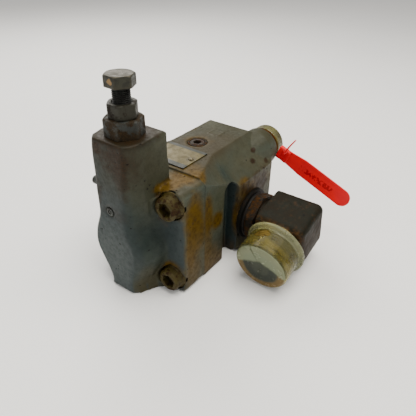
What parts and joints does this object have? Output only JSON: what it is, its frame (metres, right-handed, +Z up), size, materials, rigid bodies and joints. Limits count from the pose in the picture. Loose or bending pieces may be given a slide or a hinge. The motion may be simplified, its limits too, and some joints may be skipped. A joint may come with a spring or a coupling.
{
  "type": "flow control valve",
  "caption": "Pilot operated hydraulic valve: cast body, flanged pilot head with screw adjuster and lock nut, capped side elbow, capped rear port and a security seal.",
  "frame": {"origin": "centre of the four mounting holes, on the body's underside", "axes": "+X from the pilot head to the rear port, +Z up the adjusting screw, the side port faces -Y"},
  "size_m": [0.1703, 0.1555, 0.1655],
  "materials": {
    "casting": "matt worn paint over cast iron",
    "screw_steel": "zinc plated, rust stained",
    "plated_steel": "dull zinc plating, rust stained",
    "fitting_steel": "dark phosphated forging",
    "steel": "ground",
    "spring_steel": "oiled wire",
    "brass": "turned",
    "rubber": "satin",
    "plate": "printed plate",
    "clear_plastic": "translucent, yellowed",
    "yellow_plastic": "translucent, yellowed",
    "red_plastic": "moulded"
  },
  "bodies": {
    "valve": {"main_body": "casting", "pilot_head": "casting", "head_screws": "screw_steel", "joint_o_rings": "rubber", "main_sleeve": "steel", "sleeve_o_rings": "rubber", "adjuster_bonnet": "plated_steel", "bonnet_o_ring": "rubber", "pilot_seat": "steel", "pilot_seat_o_ring": "rubber", "damping_orifice": "brass", "pilot_spring": "spring_steel", "main_spring": "spring_steel", "front_ball_plug": "steel", "side_ball_plug": "steel", "gauge_port_plug": "plated_steel", "gauge_plug_seal": "rubber", "nameplate": "plate", "nameplate_rivets": "steel", "elbow_fitting": "fitting_steel", "elbow_jam_nut": "fitting_steel", "elbow_o_ring": "rubber", "elbow_washer": "plated_steel", "rear_adapter": "fitting_steel", "rear_adapter_seal": "rubber"},
    "plunger": {"spring_plunger": "steel", "plunger_o_ring": "rubber"},
    "screw": {"adjusting_screw": "plated_steel"},
    "nut": {"lock_nut": "plated_steel"},
    "poppet": {"pilot_poppet": "steel"},
    "piston": {"main_piston": "steel"},
    "elbow_cover": {"elbow_cap": "clear_plastic"},
    "rear_cover": {"rear_cap": "yellow_plastic"},
    "seal": {"seal_tag": "red_plastic", "seal_strap": "red_plastic", "seal_tail": "red_plastic"}
  },
  "joints": [
    {"name": "adjust_travel", "type": "slide", "parent": "valve", "child": "plunger", "axis": [0, 0, -1], "range_m": [-0.003, 0.008], "deforming": ["pilot_spring"]},
    {"name": "adjust_turn", "type": "hinge", "parent": "plunger", "child": "screw", "pos_m": [-0.0805, 0, 0.118], "axis": [0, 0, -1], "range_deg": [-865, 2305]},
    {"name": "lock_nut_turn", "type": "hinge", "parent": "valve", "child": "nut", "pos_m": [-0.0805, 0, 0.143], "axis": [0, 0, 1], "range_deg": [0, 180]},
    {"name": "pilot_lift", "type": "slide", "parent": "valve", "child": "poppet", "axis": [0, 0, 1], "range_m": [0, 0.002], "stiffness_N_per_m": 2000, "springref_m": -0.002, "deforming": ["pilot_spring"]},
    {"name": "piston_travel", "type": "slide", "parent": "valve", "child": "piston", "axis": [-1, 0, 0], "range_m": [0, 0.008], "stiffness_N_per_m": 3000, "springref_m": -0.004, "deforming": ["main_spring"]},
    {"name": "elbow_cap_pull", "type": "slide", "parent": "valve", "child": "elbow_cover", "axis": [-0.9816, 0, -0.1908], "range_m": [0, 0.024]},
    {"name": "rear_cap_pull", "type": "slide", "parent": "valve", "child": "rear_cover", "axis": [1, 0, 0], "range_m": [0, 0.014]},
    {"name": "seal_swing", "type": "hinge", "parent": "valve", "child": "seal", "pos_m": [0.0596, -0.0262, 0.0726], "axis": [1, 0, 0], "range_deg": [-60, 20]}
  ],
  "couplings": [
    {"joint": "adjust_turn", "follows": "adjust_travel", "rad_per_m": 5026.5}
  ]
}
